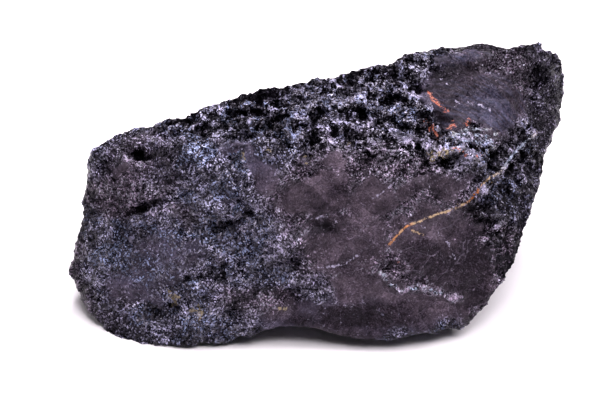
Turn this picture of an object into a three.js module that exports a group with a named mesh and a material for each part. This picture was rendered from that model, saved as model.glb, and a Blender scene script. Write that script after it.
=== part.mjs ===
// A rough piece of black tourmaline (schorl): one broken, unworn chunk, 60 mm long, that lies
// on a small flat spot. Broad fracture faces meet in blunt ridges, and the skin between them is
// a mass of intergrown crystals, with hollows, ledges and cracks.
//
// Millimetres, +Z up, the stone's long side along X, origin under the middle of its box.
//
// The stone is drawn in a leaning sketch frame: across (along X), up, and near, which points
// LEAN_DEG above the horizontal, out of the stone's broad front. Straight lines spread from a
// flat core inside the stone, and each one ends where it meets the surface, so the solid is
// closed and can't cut through itself. Relief moves a point along its line.

import * as THREE from "three";

// Driving dimensions
const LEAN_DEG = 38;
const REST_DROP = 10.4; // from the sketch frame's origin straight down to the flat resting spot
const BOX_MIDDLE = [-0.24, 0.27]; // the middle of the stone's box, seen from above
const RIDGE_ROUNDING = 0.3; // how blunt the broken ridges are
const SKIRT_LEAN = 0.34; // how fast the sides draw in behind the outline, per mm
const SKIRT_LEAN_CHANGE = 0.16;
const SKIRT_BLEND = 5; // depth over which the jagged outline fades into its plain form
const OUTLINE_GROWTH = 0.3; // gives back what the blunt ridges take off the outline

// The rim as it is seen along the near axis: [across, up], clockwise from the left end
const OUTLINE = [
  [-29.9, -8.4], [-29.5, -5.1], [-28.9, -2.9], [-28.5, -2.2], [-28.9, -0.4], [-28.1, 1.9],
  [-27.6, 4.5], [-27.5, 5.8], [-25.9, 6.6], [-24.5, 7.7], [-23.0, 8.4], [-20.4, 8.9],
  [-18.1, 9.7], [-15.5, 10.2], [-12.7, 11.3], [-9.5, 12.5], [-6.4, 13.4], [-2.3, 14.2],
  [1.9, 14.8], [6.1, 15.8], [8.3, 16.1], [9.9, 17.2], [13.7, 18.1], [18.1, 18.8],
  [19.5, 19.1], [20.8, 18.9], [22.9, 18.3], [25.1, 18.9], [26.4, 18.9], [27.1, 18.2],
  [28.6, 17.8], [29.4, 16.6], [29.6, 14.6], [29.9, 13.4], [29.4, 11.9], [28.8, 8.9],
  [27.7, 6.7], [27.0, 3.5], [25.5, -1.1], [24.2, -4.9], [23.4, -7.4], [21.4, -10.4],
  [18.4, -14.3], [17.5, -15.5], [13.0, -15.8], [11.6, -15.8], [10.5, -16.3], [8.3, -16.6],
  [4.1, -16.3], [1.7, -15.8], [-0.2, -15.1], [-2.3, -14.8], [-5.2, -14.9], [-7.0, -15.9],
  [-8.3, -16.6], [-9.2, -16.2], [-11.4, -17.4], [-13.9, -17.1], [-15.5, -17.5], [-18.4, -17.4],
  [-24.1, -16.9], [-26.6, -14.7], [-28.6, -12.3],
];
const PLAIN_OUTLINE_STEP = 7; // the plain form keeps one point in this many

// Faces of the front: a point [across, up, near] on each, and how near changes per mm
// across and per mm up
const FRONT_FACES = [
  { at: [-2.4, -3.6, 10.2], slope: [0.02, 0.25] }, // broad middle
  { at: [-2.4, 6.0, 12.6], slope: [-0.12, -0.75] }, // crystalline top
  { at: [-14.5, -4.8, 9.6], slope: [0.4, 0.15] }, // left
  { at: [10.8, -6.0, 9.9], slope: [-0.3, 0.22] }, // smooth lower right
  { at: [20.5, 0.0, 8.3], slope: [-1.1, -0.1] }, // right
  { at: [19.3, 9.6, 7.3], slope: [-0.45, -0.55] }, // upper right
  { at: [27.5, 13.3, 1.6], slope: [-2.0, -0.2] }, // right end
  { at: [-24.1, -12.0, 5.6], slope: [0.75, 0.08] }, // lower left corner
  { at: [-24.7, 4.8, 6.9], slope: [0.5, -0.9] }, // upper left corner
];

// Faces of the back and the underside: a point [x, y, z] above the resting spot, and the
// way each one looks
const BACK_FACES = [
  { at: [18, 14.6, 16], looks: [-0.22, 0.96, 0.1] }, // back
  { at: [-21, 9, 8], looks: [-0.6, 0.78, 0.16] }, // back left
  { at: [30, 13, 18.8], looks: [0.75, 0.6, -0.25] }, // back right
  { at: [-3, 5.5, 0], looks: [-0.05, 0.55, -0.83] }, // under the back
  { at: [13.5, 0, 0], looks: [0.59, 0.1, -0.8] }, // under the right end
  { at: [-19, 3, 0], looks: [-0.45, 0.35, -0.82] }, // under the left end
  { at: [5, -13.3, 0], looks: [0.06, -0.44, -0.9] }, // under the front edge
  { at: [-29.4, 0, 12], looks: [-0.93, 0.3, 0.2] }, // left end
];

// Hollows of the front: middle and radii [across, up], turned anticlockwise, and depth
const HOLLOWS = [
  { at: [18.6, 11.8], radii: [6.6, 4.2], turn: -18, depth: 1.5 }, // shallow striated scoop
  { at: [26.6, 14.8], radii: [1.2, 1.0], turn: 0, depth: 1.5 }, // deep pit at the right end
  { at: [15.4, 9.6], radii: [2.6, 1.5], turn: -25, depth: 1.4 }, // pocket of the red stain
  { at: [15.7, 4.5], radii: [1.8, 0.9], turn: 12, depth: 1.1 },
  { at: [18.1, 6.3], radii: [1.0, 0.6], turn: 0, depth: 0.7 },
  { at: [-21.8, 5.1], radii: [1.9, 0.9], turn: -8, depth: 1.3 }, // under the left ledge
  { at: [-25.9, 3.7], radii: [1.3, 0.8], turn: 0, depth: 1.0 },
  { at: [-9.0, 7.8], radii: [1.5, 1.0], turn: 10, depth: 1.0 },
  { at: [0.4, -3.1], radii: [1.9, 1.0], turn: -5, depth: 0.5 },
  { at: [-3.0, -7.6], radii: [1.9, 1.3], turn: -35, depth: 0.9 },
  { at: [-17.8, -13.6], radii: [1.1, 1.1], turn: 0, depth: 0.8 },
  { at: [-10.2, -13.8], radii: [1.5, 0.9], turn: 0, depth: 0.8 },
  { at: [-3.4, -13.0], radii: [1.0, 1.4], turn: 0, depth: 0.9 },
  { at: [1.8, 10.6], radii: [1.7, 1.2], turn: 0, depth: 0.9 }, // pockets of the crystalline top
  { at: [5.2, 10.4], radii: [1.1, 1.1], turn: 0, depth: 0.7 },
  { at: [9.2, 12.0], radii: [2.6, 1.2], turn: 10, depth: 0.9 },
  { at: [11.4, 14.0], radii: [1.8, 1.2], turn: -30, depth: 0.8 },
  { at: [11.8, 6.5], radii: [0.9, 1.2], turn: 0, depth: 0.7 },
  { at: [-2.2, 12.0], radii: [1.5, 0.9], turn: 0, depth: 0.7 },
];

// Ledges and ridges stand up along a line of points [across, up]; cracks are cut in
const LINES = [
  { points: [[9.5, 15.6], [13.3, 16.6], [17.0, 17.2], [21.0, 16.9]], width: 0.9, rise: 0.8 },
  { points: [[20.5, 13.1], [23.0, 12.6], [26.3, 12.5]], width: 0.4, rise: -0.5 },
  { points: [[-23.3, 6.6], [-21.0, 6.9], [-18.8, 6.3]], width: 0.7, rise: 0.7 },
  {
    points: [[26.2, 8.1], [23.5, 5.8], [21.7, 3.4], [19.1, 1.4], [17.2, -0.4]],
    width: 0.55,
    rise: 0.45,
  },
  { points: [[17.2, -0.4], [14.4, -1.6], [10.2, -3.4], [8.2, -5.2]], width: 0.5, rise: 0.25 },
  { points: [[7.0, -8.4], [9.4, -10.6], [13.3, -10.6], [16.7, -11.6]], width: 0.6, rise: 0.4 },
  { points: [[-23.0, -1.6], [-20.8, -1.1], [-18.6, -0.4], [-16.4, 0.7]], width: 0.6, rise: -1.0 },
  { points: [[-16.8, -9.6], [-14.2, -9.0], [-11.6, -8.0]], width: 0.7, rise: -0.6 },
  { points: [[-12.0, -3.7], [-10.2, -2.6], [-8.4, -1.5]], width: 0.6, rise: -0.8 },
];

// Clean breaks of the front stand a little proud of the crystals: middle, radii, turn and rise
// as for the hollows, and how clean each is from 0 to 1
const PATCHES = [
  { at: [-9.8, 6.2], radii: [3.0, 1.0], turn: -15, rise: 0.1, clean: 0.7 },
  { at: [-7.0, 3.4], radii: [3.4, 1.5], turn: -40, rise: 0.2, clean: 0.9 },
  { at: [-0.6, 0.6], radii: [4.0, 2.4], turn: 0, rise: 0.35, clean: 1 },
  { at: [1.6, 4.8], radii: [1.5, 2.1], turn: 0, rise: 0.2, clean: 0.8 },
  { at: [6.3, 0.6], radii: [3.4, 2.4], turn: 10, rise: 0.3, clean: 1 },
  { at: [13.5, 1.7], radii: [4.6, 1.3], turn: 5, rise: 0.3, clean: 0.9 },
  { at: [3.4, -4.2], radii: [5.4, 3.6], turn: 10, rise: 0.15, clean: 0.8 },
  { at: [14.5, -5.4], radii: [6.4, 4.8], turn: -20, rise: 0.3, clean: 0.95 },
  { at: [17.4, -9.2], radii: [3.8, 5.8], turn: -25, rise: 0.3, clean: 1 },
  { at: [9.5, -11.8], radii: [6.5, 2.4], turn: -8, rise: 0.3, clean: 1 },
  { at: [4.2, -14.2], radii: [12.0, 2.7], turn: 2, rise: 0.35, clean: 1 },
  { at: [-19.3, -7.2], radii: [5.0, 3.4], turn: 0, rise: 0.1, clean: 0.5 },
  { at: [-22.5, -10.8], radii: [3.8, 1.6], turn: -10, rise: 0.1, clean: 0.6 },
  { at: [-23.7, 4.3], radii: [1.3, 0.9], turn: 0, rise: 0, clean: 0.9 },
  { at: [18.1, 12.7], radii: [5.2, 3.6], turn: -15, rise: 0, clean: 0.85 },
];

// Relief that covers the whole stone
const CHIP_SIZE = 9; // spacing of the scalloped breaks
const CHIP_HEIGHT = 1.1;
const CHIP_MEAN = 0.35;
const LUMP_SIZE = 4.2;
const LUMP_HEIGHT = 0.3;
const CRYSTAL_SIZE = 3.6; // spacing of the coarse crystal blocks
const CRYSTAL_SLOPE = 0.5; // how steeply their faces fall away
const CRYSTAL_STEP = 0.35; // how unevenly high they are
const CRYSTAL_MEAN = -0.7;
const BLOCK_SKEW = 0.6;
const SMOOTH_SHARE = 0.25; // what is left of the crystal relief on a flat patch
const PATCH_EDGE = [0.8, 1.15]; // where a patch begins to fade and where it ends, in its radii
const HOLLOW_EDGE = [0.25, 1.15]; // the same for a hollow
const LINE_FOOT = 1.6; // how far the foot of a ridge or crack spreads, in its widths
const RIM_CALM = 0.6; // how much of the relief is lost by the rim
const RIM_CALM_FROM = 0.86; // where that begins and ends, as shares of the way to the outline
const RIM_CALM_TO = 0.97;
const FRONT_FADE = 3; // depth behind the rim over which the front's own forms fade out

// The core and the box that the lines are aimed through: half sizes across, up and near
const AIM_BOX = [30, 17.5, 12];
const CORE_SHARE = [0.6, 0.3, 0];
const CELLS = [44, 26, 16]; // cells along each side of the aim box
const FARTHEST_SHARE = 2.5; // no line leaves the stone later than this share of its way
const HALVINGS = 30; // steps of the search for that place

const LEAN = THREE.MathUtils.degToRad(LEAN_DEG);
const SIN = Math.sin(LEAN);
const COS = Math.cos(LEAN);

const clamp = THREE.MathUtils.clamp;
const smooth = THREE.MathUtils.smoothstep;
const mix = THREE.MathUtils.lerp;

// A fixed number from 0 to 1 for a whole-numbered cell of space
function chance(i, j, k, seed) {
  let h = Math.imul(i, 73856093) ^ Math.imul(j, 19349663);
  h ^= Math.imul(k, 83492791) ^ Math.imul(seed, 668265263);
  h = Math.imul(h ^ (h >>> 13), 1274126177);
  h = Math.imul(h ^ (h >>> 16), 374761393);
  return ((h ^ (h >>> 15)) >>> 0) / 4294967296;
}

// Soft swellings from -1 to 1: chance at the corners of cells, blended smoothly between them
function swelling(p, size, seed) {
  const cell = p.map((v) => Math.floor(v / size));
  const part = p.map((v, n) => v / size - cell[n]);
  const ease = part.map((t) => t * t * (3 - 2 * t));
  let sum = 0;
  for (let corner = 0; corner < 8; corner++) {
    const d = [corner & 1, (corner >> 1) & 1, corner >> 2];
    const weight = d.reduce((w, on, n) => w * (on ? ease[n] : 1 - ease[n]), 1);
    sum += weight * chance(cell[0] + d[0], cell[1] + d[1], cell[2] + d[2], seed);
  }
  return 2 * sum - 1;
}

// Visits the scattered seed points near p: each cell of space holds one
function nearSeeds(p, size, seed, visit) {
  const cell = p.map((v) => Math.floor(v / size));
  for (let n = 0; n < 27; n++) {
    const i = cell[0] + Math.floor(n / 9) - 1;
    const j = cell[1] + (Math.floor(n / 3) % 3) - 1;
    const k = cell[2] + (n % 3) - 1;
    const away = [i, j, k].map(
      (low, axis) => (p[axis] - (low + chance(i, j, k, seed + axis)) * size) / size,
    );
    visit(away, away[0] ** 2 + away[1] ** 2 + away[2] ** 2, [i, j, k]);
  }
}

// Scalloped breaks: a shallow bowl round each seed, 0 at its foot, and a ridge between two
function scallops(p, size, seed) {
  let lowest = Infinity;
  nearSeeds(p, size, seed, (away, squared) => (lowest = Math.min(lowest, squared)));
  return lowest;
}

// Intergrown crystals: round each seed a skewed block with flat faces that fall away on all
// sides, and the highest block shows
function crystalBlocks(p, size, slope, step, seed) {
  let highest = -Infinity;
  nearSeeds(p, size, seed, (away, squared, cell) => {
    let farthest = 0;
    for (let face = 0; face < 3; face++) {
      let across = away[face];
      for (let axis = 0; axis < 3; axis++) {
        const lean = 2 * chance(...cell, seed + 4 + 3 * face + axis) - 1;
        across += BLOCK_SKEW * lean * away[axis];
      }
      farthest = Math.max(farthest, Math.abs(across));
    }
    const top = step * (2 * chance(...cell, seed + 3) - 1);
    highest = Math.max(highest, top - slope * size * farthest);
  });
  return highest;
}

// How far the outline lies from the sketch origin in the direction of angle
function outlineReach(points, angle) {
  const way = [Math.cos(angle), Math.sin(angle)];
  let reach = 0;
  points.forEach((from, n) => {
    const to = points[(n + 1) % points.length];
    const edge = [to[0] - from[0], to[1] - from[1]];
    const turn = way[0] * edge[1] - way[1] * edge[0];
    const along = (from[0] * way[1] - from[1] * way[0]) / turn;
    const out = (from[0] * edge[1] - from[1] * edge[0]) / turn;
    if (along >= -1e-9 && along <= 1 + 1e-9 && out > reach) reach = out;
  });
  return reach;
}

// Both outlines, looked up in a ring of even angles
const RING = 1440;
const PLAIN_OUTLINE = OUTLINE.filter((_, n) => n % PLAIN_OUTLINE_STEP === 0);
const ringOf = (points) =>
  Array.from({ length: RING }, (_, n) => outlineReach(points, (n / RING) * 2 * Math.PI));
const JAGGED_RING = ringOf(OUTLINE);
const PLAIN_RING = ringOf(PLAIN_OUTLINE);

function reachAt(ring, angle) {
  const place = ((angle / (2 * Math.PI) + 1) % 1) * RING;
  const low = Math.floor(place) % RING;
  return mix(ring[low], ring[(low + 1) % RING], place - Math.floor(place));
}

// A face as a plane in the sketch frame: unit way out, and distance from the origin
function plane(way, at) {
  const size = Math.hypot(...way);
  const out = way.map((v) => v / size);
  return { out, far: out[0] * at[0] + out[1] * at[1] + out[2] * at[2] };
}

const toSketch = ([x, y, z]) => [x, y * SIN + z * COS, z * SIN - y * COS];
const toWorld = ([across, up, near]) => [
  across - BOX_MIDDLE[0],
  up * SIN - near * COS - BOX_MIDDLE[1],
  up * COS + near * SIN + REST_DROP,
];

const FRONT_PLANES = FRONT_FACES.map((f) => plane([-f.slope[0], -f.slope[1], 1], f.at));
const BACK_PLANES = BACK_FACES.map((f) =>
  plane(toSketch(f.looks), toSketch([f.at[0], f.at[1], f.at[2] - REST_DROP])),
);
const REST_PLANE = plane(toSketch([0, 0, -1]), toSketch([0, 0, -REST_DROP]));

// How near the front is at a point of the sketch
function frontNear(across, up) {
  return Math.min(
    ...FRONT_FACES.map(
      (f) => f.at[2] + f.slope[0] * (across - f.at[0]) + f.slope[1] * (up - f.at[1]),
    ),
  );
}

// How far p lies behind the rim, and the rim's distance from the middle in p's direction
function behindRim(p) {
  const angle = Math.atan2(p[1], p[0]);
  const rim = reachAt(JAGGED_RING, angle) + OUTLINE_GROWTH;
  const rimNear = frontNear(rim * Math.cos(angle), rim * Math.sin(angle));
  return { behind: Math.max(0, rimNear - p[2]), rim };
}

// How far p lies outside the skirt, which runs back from the outline and draws in
function outsideSkirt(p) {
  const { behind, rim } = behindRim(p);
  const angle = Math.atan2(p[1], p[0]);
  const reach = mix(rim, reachAt(PLAIN_RING, angle), smooth(behind, 0, SKIRT_BLEND));
  const lean = SKIRT_LEAN + SKIRT_LEAN_CHANGE * Math.sin(3 * angle + 1);
  return Math.hypot(p[0], p[1]) - reach + lean * behind;
}

// The place a share of the way along the line aimed at a point of the box
const along = (aim, share) =>
  aim.map((v, n) => v * (CORE_SHARE[n] + (1 - CORE_SHARE[n]) * share));

// Where a line meets a plane, as a share, or Infinity
function meets(aim, face) {
  const start = along(aim, 0);
  const way = along(aim, 1).map((v, n) => v - start[n]);
  const closing = face.out.reduce((sum, v, n) => sum + v * way[n], 0);
  const gap = face.far - face.out.reduce((sum, v, n) => sum + v * start[n], 0);
  return closing > 1e-9 ? gap / closing : Infinity;
}

// Where a line meets the skirt, found by halving
function meetsSkirt(aim) {
  let inside = 0;
  let outside = FARTHEST_SHARE;
  for (let n = 0; n < HALVINGS; n++) {
    const middle = (inside + outside) / 2;
    if (outsideSkirt(along(aim, middle)) > 0) outside = middle;
    else inside = middle;
  }
  return inside;
}

// The share of a line that lies in the plain stone, with blunt ridges between its faces
function plainShare(aim, length) {
  const ends = [...FRONT_PLANES, ...BACK_PLANES].map((face) => meets(aim, face) * length);
  ends.push(meetsSkirt(aim) * length);
  const first = Math.min(...ends);
  const crowd = ends.reduce((sum, end) => sum + Math.exp((first - end) / RIDGE_ROUNDING), 0);
  return (first - RIDGE_ROUNDING * Math.log(crowd)) / length;
}

// Where [across, up] lies in a turned oval: 0 at its middle, 1 on its edge
function inOval(spot, across, up) {
  const turn = THREE.MathUtils.degToRad(spot.turn);
  const x = across - spot.at[0];
  const y = up - spot.at[1];
  const u = (x * Math.cos(turn) + y * Math.sin(turn)) / spot.radii[0];
  const v = (y * Math.cos(turn) - x * Math.sin(turn)) / spot.radii[1];
  return Math.hypot(u, v);
}

// The distance from [across, up] to a line of points
function toLine(points, across, up) {
  let nearest = Infinity;
  for (let n = 0; n + 1 < points.length; n++) {
    const [x0, y0] = points[n];
    const [dx, dy] = [points[n + 1][0] - x0, points[n + 1][1] - y0];
    const t = clamp(((across - x0) * dx + (up - y0) * dy) / (dx * dx + dy * dy), 0, 1);
    nearest = Math.min(nearest, Math.hypot(across - x0 - t * dx, up - y0 - t * dy));
  }
  return nearest;
}

// The front's clean patches at a place: how flat it is there, and how far it stands proud
function patchesAt(across, up) {
  let flat = 0;
  let proud = 0;
  for (const spot of PATCHES) {
    const patch = 1 - smooth(inOval(spot, across, up), ...PATCH_EDGE);
    flat = Math.max(flat, spot.clean * patch);
    proud = Math.max(proud, spot.rise * patch);
  }
  return { flat, proud };
}

// How far the front's hollows and lines sink a place or raise it
function carvedAt(across, up) {
  let carved = 0;
  for (const spot of HOLLOWS) {
    carved -= spot.depth * (1 - smooth(inOval(spot, across, up), ...HOLLOW_EDGE));
  }
  for (const line of LINES) {
    const foot = line.width * LINE_FOOT;
    carved += line.rise * (1 - smooth(toLine(line.points, across, up), 0, foot));
  }
  return carved;
}

// What stands out of the plain stone, or is sunk in it, at a point of the sketch
function relief(p) {
  const [across, up] = p;
  const { behind, rim } = behindRim(p);
  const front = 1 - smooth(behind, 0, FRONT_FADE);
  const out = Math.hypot(across, up) / rim;
  const calm = 1 - RIM_CALM * smooth(out, RIM_CALM_FROM, RIM_CALM_TO);
  const { flat, proud } = patchesAt(across, up);
  const crystals = crystalBlocks(p, CRYSTAL_SIZE, CRYSTAL_SLOPE, CRYSTAL_STEP, 31);
  let height = CHIP_HEIGHT * (scallops(p, CHIP_SIZE, 11) - CHIP_MEAN);
  height += LUMP_HEIGHT * swelling(p, LUMP_SIZE, 21);
  height += (crystals - CRYSTAL_MEAN) * mix(1, SMOOTH_SHARE, flat * front);
  return height * calm + (proud + carvedAt(across, up)) * front;
}

// The surface point on the line aimed at a point of the box. The resting spot is cut last,
// so it stays flat
function surfacePoint(aim) {
  const length = Math.hypot(...aim.map((v, n) => v * (1 - CORE_SHARE[n])));
  const plain = plainShare(aim, length);
  const share = plain + relief(along(aim, plain)) / length;
  const resting = meets(aim, REST_PLANE);
  const point = toWorld(along(aim, Math.min(share, resting)));
  if (share >= resting) point[2] = 0;
  return point;
}

// The cells of one side of the aim box, each as the four grid points round it, facing out
function sideCells(axis, side) {
  const u = (axis + 1) % 3;
  const v = (axis + 2) % 3;
  const gridPoint = (i, j) => {
    const cell = [0, 0, 0];
    cell[axis] = side * CELLS[axis];
    cell[u] = i;
    cell[v] = j;
    return cell;
  };
  const found = [];
  for (let i = 0; i < CELLS[u]; i++) {
    for (let j = 0; j < CELLS[v]; j++) {
      const ring = [gridPoint(i, j), gridPoint(i + 1, j), gridPoint(i + 1, j + 1), gridPoint(i, j + 1)];
      found.push(side ? ring : ring.reverse());
    }
  }
  return found;
}

// One closed skin over the aim box's grid. Points on the box's edges are shared by their key,
// and each cell is cut along its shorter diagonal
function stoneGeometry() {
  const points = [];
  const indices = [];
  const numbers = new Map();
  const numberOf = (cell) => {
    const key = cell.join();
    if (!numbers.has(key)) {
      numbers.set(key, points.length);
      points.push(surfacePoint(cell.map((n, axis) => AIM_BOX[axis] * ((2 * n) / CELLS[axis] - 1))));
    }
    return numbers.get(key);
  };
  const apart = (m, n) => Math.hypot(...points[m].map((v, axis) => v - points[n][axis]));
  for (let axis = 0; axis < 3; axis++) {
    for (const cell of [...sideCells(axis, 0), ...sideCells(axis, 1)]) {
      const [a, b, c, d] = cell.map(numberOf);
      if (apart(a, c) <= apart(b, d)) {
        indices.push(a, b, c, a, c, d);
      } else {
        indices.push(a, b, d, b, c, d);
      }
    }
  }
  const geometry = new THREE.BufferGeometry();
  geometry.setAttribute("position", new THREE.Float32BufferAttribute(points.flat(), 3));
  geometry.setIndex(indices);
  geometry.computeVertexNormals();
  return geometry;
}

// Black with a violet cast, and a dull vitreous shine
const schorl = new THREE.MeshStandardMaterial({
  color: 0x2b272e,
  roughness: 0.45,
  metalness: 0,
  flatShading: true,
});

const stone = new THREE.Mesh(stoneGeometry(), schorl);
stone.name = "tourmaline";

const group = new THREE.Group();
group.add(stone);

export default group;
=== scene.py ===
import math
import bpy
import numpy as np
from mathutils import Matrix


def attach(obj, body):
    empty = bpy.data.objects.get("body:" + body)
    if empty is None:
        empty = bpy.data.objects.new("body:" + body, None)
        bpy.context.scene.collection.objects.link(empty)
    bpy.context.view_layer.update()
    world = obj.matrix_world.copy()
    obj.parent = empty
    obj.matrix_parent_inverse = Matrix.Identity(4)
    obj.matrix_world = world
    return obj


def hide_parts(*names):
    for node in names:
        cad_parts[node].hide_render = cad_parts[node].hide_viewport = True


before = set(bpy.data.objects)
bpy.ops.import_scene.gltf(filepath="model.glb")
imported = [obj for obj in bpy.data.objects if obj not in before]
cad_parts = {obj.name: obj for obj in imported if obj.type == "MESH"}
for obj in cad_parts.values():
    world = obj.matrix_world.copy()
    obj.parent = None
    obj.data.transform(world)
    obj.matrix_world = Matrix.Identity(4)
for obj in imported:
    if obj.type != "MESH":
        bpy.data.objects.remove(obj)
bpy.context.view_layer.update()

# The stone: one broken, unworn chunk of massive schorl, 60 mm long. It split along broad rough
# faces, so dull clean patches lie between masses of intergrown crystal, and it rests on a small
# flat spot.

# It is drawn in mm in a leaning sketch frame: across (+X), up, and near, which points out of the
# broad front. The sides run back from the rim and draw in by the skirt's lean
MM = 0.001
LEAN = math.radians(38)
SIN, COS = math.sin(LEAN), math.cos(LEAN)
REST_DROP = 10.4
BOX_MIDDLE = (-0.24, 0.27)
RIDGE_ROUNDING = 0.3
SKIRT_LEAN = 0.34
SKIRT_LEAN_CHANGE = 0.16
SKIRT_BLEND = 5
OUTLINE_GROWTH = 0.3

# The rim as it is seen along the near axis, in mm: (across, up), clockwise from the left end
OUTLINE = np.array([
    (-29.9, -8.4), (-29.5, -5.1), (-28.9, -2.9), (-28.5, -2.2), (-28.9, -0.4), (-28.1, 1.9),
    (-27.6, 4.5), (-27.5, 5.8), (-25.9, 6.6), (-24.5, 7.7), (-23.0, 8.4), (-20.4, 8.9),
    (-18.1, 9.7), (-15.5, 10.2), (-12.7, 11.3), (-9.5, 12.5), (-6.4, 13.4), (-2.3, 14.2),
    (1.9, 14.8), (6.1, 15.8), (8.3, 16.1), (9.9, 17.2), (13.7, 18.1), (18.1, 18.8),
    (19.5, 19.1), (20.8, 18.9), (22.9, 18.3), (25.1, 18.9), (26.4, 18.9), (27.1, 18.2),
    (28.6, 17.8), (29.4, 16.6), (29.6, 14.6), (29.9, 13.4), (29.4, 11.9), (28.8, 8.9),
    (27.7, 6.7), (27.0, 3.5), (25.5, -1.1), (24.2, -4.9), (23.4, -7.4), (21.4, -10.4),
    (18.4, -14.3), (17.5, -15.5), (13.0, -15.8), (11.6, -15.8), (10.5, -16.3), (8.3, -16.6),
    (4.1, -16.3), (1.7, -15.8), (-0.2, -15.1), (-2.3, -14.8), (-5.2, -14.9), (-7.0, -15.9),
    (-8.3, -16.6), (-9.2, -16.2), (-11.4, -17.4), (-13.9, -17.1), (-15.5, -17.5), (-18.4, -17.4),
    (-24.1, -16.9), (-26.6, -14.7), (-28.6, -12.3),
])

# Faces of the front: a point (across, up, near) on each, and how near changes per mm across
# and per mm up
FRONT_FACES = [
    ((-2.4, -3.6, 10.2), (0.02, 0.25)),    # broad middle
    ((-2.4, 6.0, 12.6), (-0.12, -0.75)),   # crystalline top
    ((-14.5, -4.8, 9.6), (0.4, 0.15)),     # left
    ((10.8, -6.0, 9.9), (-0.3, 0.22)),     # smooth lower right
    ((20.5, 0.0, 8.3), (-1.1, -0.1)),      # right
    ((19.3, 9.6, 7.3), (-0.45, -0.55)),    # upper right
    ((27.5, 13.3, 1.6), (-2.0, -0.2)),     # right end
    ((-24.1, -12.0, 5.6), (0.75, 0.08)),   # lower left corner
    ((-24.7, 4.8, 6.9), (0.5, -0.9)),      # upper left corner
]

# Faces of the back and the underside: a point (x, y, z) above the resting spot, and the way
# each one looks
BACK_FACES = [
    ((18, 14.6, 16), (-0.22, 0.96, 0.1)),    # back
    ((-21, 9, 8), (-0.6, 0.78, 0.16)),       # back left
    ((30, 13, 18.8), (0.75, 0.6, -0.25)),    # back right
    ((-3, 5.5, 0), (-0.05, 0.55, -0.83)),    # under the back
    ((13.5, 0, 0), (0.59, 0.1, -0.8)),       # under the right end
    ((-19, 3, 0), (-0.45, 0.35, -0.82)),     # under the left end
    ((5, -13.3, 0), (0.06, -0.44, -0.9)),    # under the front edge
    ((-29.4, 0, 12), (-0.93, 0.3, 0.2)),     # left end
]

# Hollows of the front: middle, radii, anticlockwise turn in degrees, and depth
HOLLOWS = [
    ((18.6, 11.8), (6.6, 4.2), -18, 1.5),   # shallow striated scoop
    ((26.6, 14.8), (1.2, 1.0), 0, 1.5),     # deep pit at the right end
    ((15.4, 9.6), (2.6, 1.5), -25, 1.4),    # pocket of the red stain
    ((15.7, 4.5), (1.8, 0.9), 12, 1.1),
    ((18.1, 6.3), (1.0, 0.6), 0, 0.7),
    ((-21.8, 5.1), (1.9, 0.9), -8, 1.3),    # under the left ledge
    ((-25.9, 3.7), (1.3, 0.8), 0, 1.0),
    ((-9.0, 7.8), (1.5, 1.0), 10, 1.0),
    ((0.4, -3.1), (1.9, 1.0), -5, 0.5),
    ((-3.0, -7.6), (1.9, 1.3), -35, 0.9),
    ((-17.8, -13.6), (1.1, 1.1), 0, 0.8),
    ((-10.2, -13.8), (1.5, 0.9), 0, 0.8),
    ((-3.4, -13.0), (1.0, 1.4), 0, 0.9),
    ((1.8, 10.6), (1.7, 1.2), 0, 0.9),      # black pockets of the crystalline top
    ((5.2, 10.4), (1.1, 1.1), 0, 0.7),
    ((9.2, 12.0), (2.6, 1.2), 10, 0.9),
    ((11.4, 14.0), (1.8, 1.2), -30, 0.8),
    ((11.8, 6.5), (0.9, 1.2), 0, 0.7),
    ((-2.2, 12.0), (1.5, 0.9), 0, 0.7),
]

# Ledges and ridges stand up along a line of points, and cracks are cut in: width and rise
LINES = [
    ([(9.5, 15.6), (13.3, 16.6), (17.0, 17.2), (21.0, 16.9)], 0.9, 0.8),
    ([(20.5, 13.1), (23.0, 12.6), (26.3, 12.5)], 0.4, -0.5),
    ([(-23.3, 6.6), (-21.0, 6.9), (-18.8, 6.3)], 0.7, 0.7),
    ([(26.2, 8.1), (23.5, 5.8), (21.7, 3.4), (19.1, 1.4), (17.2, -0.4)], 0.55, 0.45),
    ([(17.2, -0.4), (14.4, -1.6), (10.2, -3.4), (8.2, -5.2)], 0.5, 0.25),
    ([(7.0, -8.4), (9.4, -10.6), (13.3, -10.6), (16.7, -11.6)], 0.6, 0.4),
    ([(-23.0, -1.6), (-20.8, -1.1), (-18.6, -0.4), (-16.4, 0.7)], 0.6, -1.0),
    ([(-16.8, -9.6), (-14.2, -9.0), (-11.6, -8.0)], 0.7, -0.6),
    ([(-12.0, -3.7), (-10.2, -2.6), (-8.4, -1.5)], 0.6, -0.8),
]

# Clean breaks of the front, a little proud of the crystals: middle, radii, turn, rise, and how
# clean each is from 0 to 1
PATCHES = [
    ((-9.8, 6.2), (3.0, 1.0), -15, 0.1, 0.7),
    ((-7.0, 3.4), (3.4, 1.5), -40, 0.2, 0.9),
    ((-0.6, 0.6), (4.0, 2.4), 0, 0.35, 1.0),
    ((1.6, 4.8), (1.5, 2.1), 0, 0.2, 0.8),
    ((6.3, 0.6), (3.4, 2.4), 10, 0.3, 1.0),
    ((13.5, 1.7), (4.6, 1.3), 5, 0.3, 0.9),
    ((3.4, -4.2), (5.4, 3.6), 10, 0.15, 0.8),
    ((14.5, -5.4), (6.4, 4.8), -20, 0.3, 0.95),
    ((17.4, -9.2), (3.8, 5.8), -25, 0.3, 1.0),
    ((9.5, -11.8), (6.5, 2.4), -8, 0.3, 1.0),
    ((4.2, -14.2), (12.0, 2.7), 2, 0.35, 1.0),
    ((-19.3, -7.2), (5.0, 3.4), 0, 0.1, 0.5),
    ((-22.5, -10.8), (3.8, 1.6), -10, 0.1, 0.6),
    ((-23.7, 4.3), (1.3, 0.9), 0, 0, 0.9),
    ((18.1, 12.7), (5.2, 3.6), -15, 0, 0.85),
]

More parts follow.
